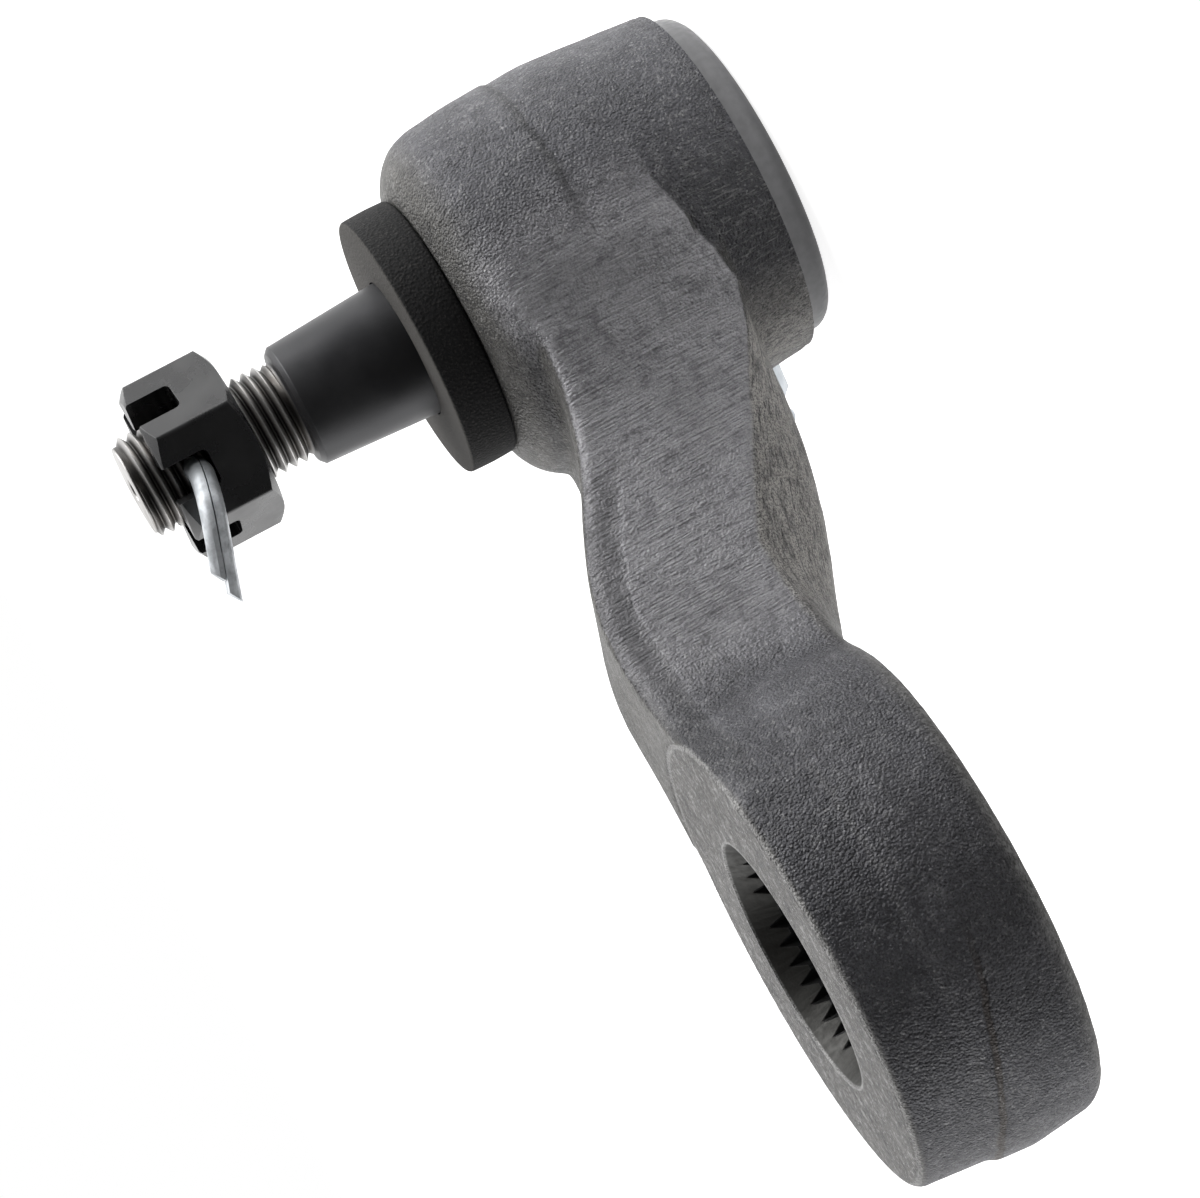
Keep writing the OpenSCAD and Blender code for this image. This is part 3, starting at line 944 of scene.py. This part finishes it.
def cotterFinish():
    s = cotterLook
    mat = newFinish("zincWire")
    p = place(mat)
    blot = grain(mat, p, 420, 4, 0.6)
    fine = grain(mat, p, 1800, 3)
    tint = mixColour(mat, band(mat, blot, 0.36, 0.68, 0.0, 0.8), s["colour"], s["dull"])
    # painted shade where it comes out of the nut's slot
    x, y, _ = axes(mat, p)
    slotPaintedShade = band(mat, spoke(mat, x, y, studX * mm), 0.0165, 0.0138, 0.0, 0.72)
    tint = mixColour(mat, slotPaintedShade, tint, s["stain"])
    rough = band(mat, blot, 0.3, 0.7, s["roughness"] - 0.08, s["roughness"] + 0.14)
    dress(mat, Base_Color=tint, Metallic=0.55, Roughness=rough, Normal=bumped(mat, fine, 0.2, 0.00006))
    return mat


cotter = copyOf("cotter_pin", "cotterPin")
smoothShade(cotter, 30)
wear(cotter, cotterFinish())
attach(cotter, "stud")
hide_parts("cotter_pin")
print("cotter bent")

# dust seal: foam rubber washer
# pale: the foam's pale specks, also painted light on its upward face
sealLook = {"colour": (0.014, 0.014, 0.0145), "paleSpeckAndPaintedLight": (0.092, 0.087, 0.081)}


def sealFinish():
    s = sealLook
    mat = newFinish("foamSeal")
    p = place(mat)
    nz = axes(mat, facing(mat))[2]
    cells = tool(mat, "ShaderNodeTexVoronoi", Vector=p, Scale=2400.0).outputs["Distance"]
    fine = grain(mat, p, 3200, 3)
    tint = mixColour(mat, band(mat, fine, 0.5, 0.74, 0.0, 0.4), s["colour"], s["paleSpeckAndPaintedLight"])
    # painted light: the upward face paler than the walls
    tint = mixColour(mat, band(mat, nz, 0.4, 0.9, 0.0, 0.75), tint, s["paleSpeckAndPaintedLight"])
    normal = bumped(mat, cells, 0.7, 0.00018)
    normal = bumped(mat, fine, 0.5, 0.00012, normal)
    dress(mat, Base_Color=tint, Roughness=0.85, Specular_IOR_Level=0.35, Normal=normal)
    return mat


sealSet = {"inner": 9.66, "outer": 18.2, "foot": -6.16, "top": 0.42, "crown": 0.04, "belly": 0.12, "rows": 8}


def makeSeal():
    s = sealSet
    inner, outer, foot, top, rows = (s[k] for k in ("inner", "outer", "foot", "top", "rows"))
    # rows of points up both walls, so that the ring can bend
    levels = [foot + (top - foot) * k / rows for k in range(1, rows)]
    rings = [(inner, foot), (outer, foot, 0.5)]
    for k, z in enumerate(levels, 1):
        rings.append((outer + s["belly"] * math.sin(math.pi * k / rows), z))
    rings += [(outer, top, 0.45), (14, top + s["crown"]), (inner, top)]
    rings += [(inner, z) for z in reversed(levels)]
    rings.append((inner, foot))
    seal = turned("foamSeal", rings)
    smoothShade(seal, 40)
    wear(seal, sealFinish())
    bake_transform(seal)
    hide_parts("dust_seal")
    print("seal laid")


makeSeal()

# grease nipple: pale zinc
nippleLook = {"colour": (0.64, 0.68, 0.72), "dull": (0.46, 0.50, 0.53), "roughness": 0.28}


def nippleFinish():
    s = nippleLook
    mat = newFinish("paleZinc")
    p = place(mat)
    blot = grain(mat, p, 500, 3)
    tint = mixColour(mat, band(mat, blot, 0.4, 0.7, 0.0, 0.5), s["colour"], s["dull"])
    rough = band(mat, blot, 0.3, 0.7, s["roughness"], s["roughness"] + 0.14)
    dress(mat, Base_Color=tint, Metallic=0.9, Roughness=rough)
    return mat


nipple = copyOf("grease_fitting", "greaseNipple")
soften = nipple.modifiers.new("soften", "BEVEL")
soften.width = 0.15 * mm
soften.segments = 2
soften.limit_method = "ANGLE"
soften.angle_limit = math.radians(35)
bakeModifiers(nipple)
smoothShade(nipple, 30)
wear(nipple, nippleFinish())
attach(nipple, "arm")
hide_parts("grease_fitting")
print("nipple set")

# inner pieces keep their CAD shape
innerLook = {
    "half_ball": ((0.30, 0.30, 0.31), 0.9, 0.3),
    "pressure_pad": ((0.69, 0.67, 0.57), 0.0, 0.5),
    "preload_spring": ((0.24, 0.24, 0.26), 0.9, 0.4),
    "grease_check_ball": ((0.45, 0.45, 0.46), 1.0, 0.15),
    "grease_check_spring": ((0.35, 0.35, 0.36), 0.95, 0.35),
}


def innerFinish(name, colour, metal, roughness):
    mat = newFinish(name)
    p = place(mat)
    fine = grain(mat, p, 900, 3)
    blot = grain(mat, p, 150, 3)
    darker = tuple(c * 0.75 for c in colour)
    tint = mixColour(mat, band(mat, blot, 0.35, 0.7, 0.0, 0.6), colour, darker)
    rough = band(mat, fine, 0.3, 0.7, roughness - 0.06, roughness + 0.08)
    dress(mat, Base_Color=tint, Metallic=metal, Roughness=rough, Normal=bumped(mat, fine, 0.1, 0.00003))
    return mat


for nodeName, (colour, metal, roughness) in innerLook.items():
    wear(frame["nodes"][nodeName], innerFinish(nodeName + "Finish", colour, metal, roughness))
print("inner pieces finished")

# stage: pale floor, white surround that is darker where the photographer stands
stageSet = {
    "floorZ": -36.9,
    "floorSize": 6.0,
    "surround": 1.0,
    "behindCamera": 0.008,
    "paper": (0.82, 0.82, 0.82),
    "paperEnd": (0.15, 0.15, 0.15),
    "glow": 0.85,
    "aim": (0.06, 0, 0),
    "lamps": [
        # name, towards, distance m, size m, watts
        ("topBox", (0.78, -0.36, 0.56), 0.50, 0.50, 3.0),
        ("lowBox", (-0.80, 0.48, 0.36), 0.85, 0.9, 3.0),
        ("backBox", (0.30, 0.90, 0.40), 0.90, 1.0, 1.0),
    ],
}
lensSet = {
    "right": (-0.482041, 0.085438, -0.871973),
    "down": (-0.772356, 0.428431, 0.468950),
    "into": (0.413646, 0.899526, -0.140532),
    "at": (-195.92, -546.25, 81.43),  # mm, from the boss's face
    "lens": 144.439,
}


def makeFloor():
    s = stageSet
    deselectAll()
    bpy.ops.mesh.primitive_plane_add(size=s["floorSize"], location=(0.05, 0, s["floorZ"] * mm))
    floor = named("studioFloor")
    bakePlace(floor)
    mat = newFinish("paleFloor")
    path = tool(mat, "ShaderNodeLightPath").outputs
    mirrored = calc(mat, "MAXIMUM", path["Is Glossy Ray"], path["Is Transmission Ray"])
    # the paper stops short on the camera's side, so mirrored parts of it are dark there
    x, y, _ = axes(mat, place(mat))
    intoX, intoY, _ = lensSet["into"]
    away = calc(mat, "ADD", calc(mat, "MULTIPLY", x, intoX), calc(mat, "MULTIPLY", y, intoY))
    mirrored = calc(mat, "MULTIPLY", mirrored, band(mat, away, -0.15, 0.2, 0.02, 1.0))
    seen = calc(mat, "MAXIMUM", path["Is Camera Ray"], mirrored)
    paper = mixColour(mat, band(mat, away, -0.10, 0.06), s["paperEnd"], s["paper"])
    dress(mat, Base_Color=paper, Roughness=0.9)
    glow = tool(
        mat, "ShaderNodeEmission",
        Color=(1, 1, 1, 1), Strength=calc(mat, "MULTIPLY", seen, s["glow"])).outputs[0]
    both = tool(mat, "ShaderNodeAddShader")
    feed(mat, both.inputs[0], mat.node_tree.nodes["Principled BSDF"].outputs[0])
    feed(mat, both.inputs[1], glow)
    feed(mat, mat.node_tree.nodes["Material Output"].inputs["Surface"], both.outputs[0])
    wear(floor, mat)


def makeWorld():
    s = stageSet
    world = bpy.data.worlds.new("studio")
    bpy.context.scene.world = world
    world.use_nodes = True
    # bright all round, dark behind the camera; the camera itself sees white
    into = tool(world, "ShaderNodeVectorMath", {"operation": "DOT_PRODUCT"})
    feed(world, into.inputs[0], tool(world, "ShaderNodeTexCoord").outputs["Generated"])
    feed(world, into.inputs[1], lensSet["into"])
    shade = band(world, into.outputs["Value"], -0.25, 0.35, s["behindCamera"], s["surround"])
    strength = tool(world, "ShaderNodeMix")
    seen = tool(world, "ShaderNodeLightPath").outputs["Is Camera Ray"]
    for index, value in ((0, seen), (2, shade), (3, 1.0)):
        feed(world, strength.inputs[index], value)
    back = world.node_tree.nodes["Background"]
    feed(world, back.inputs["Strength"], strength.outputs[0])
    feed(world, back.inputs["Color"], (1, 1, 1, 1))


def makeLamps():
    aim = Vector(stageSet["aim"])
    for name, towards, distance, size, watts in stageSet["lamps"]:
        deselectAll()
        towards = Vector(towards).normalized()
        bpy.ops.object.light_add(
            type="AREA", location=aim + towards * distance,
            rotation=towards.to_track_quat("Z", "Y").to_euler())
        lamp = bpy.context.object
        lamp.name = name
        lamp.data.shape = "DISK"
        lamp.data.size = size
        lamp.data.energy = watts


def makeCamera():
    s = lensSet
    deselectAll()
    bpy.ops.object.camera_add()
    camera = bpy.context.object
    camera.name = "photoCamera"
    camera.data.sensor_fit = "HORIZONTAL"
    camera.data.sensor_width = 36
    camera.data.lens = s["lens"]
    camera.data.clip_start = 0.01
    right, down, into = (Vector(s[k]).normalized() for k in ("right", "down", "into"))
    turn = Matrix((right, -down, -into)).transposed()
    at = Vector(s["at"]) + Vector((0, 0, faceZ))
    camera.matrix_world = Matrix.Translation(at * mm) @ turn.to_4x4()
    bpy.context.scene.camera = camera


makeFloor()
makeWorld()
makeLamps()
makeCamera()
bpy.context.scene.view_settings.view_transform = "Standard"
print("stage set")
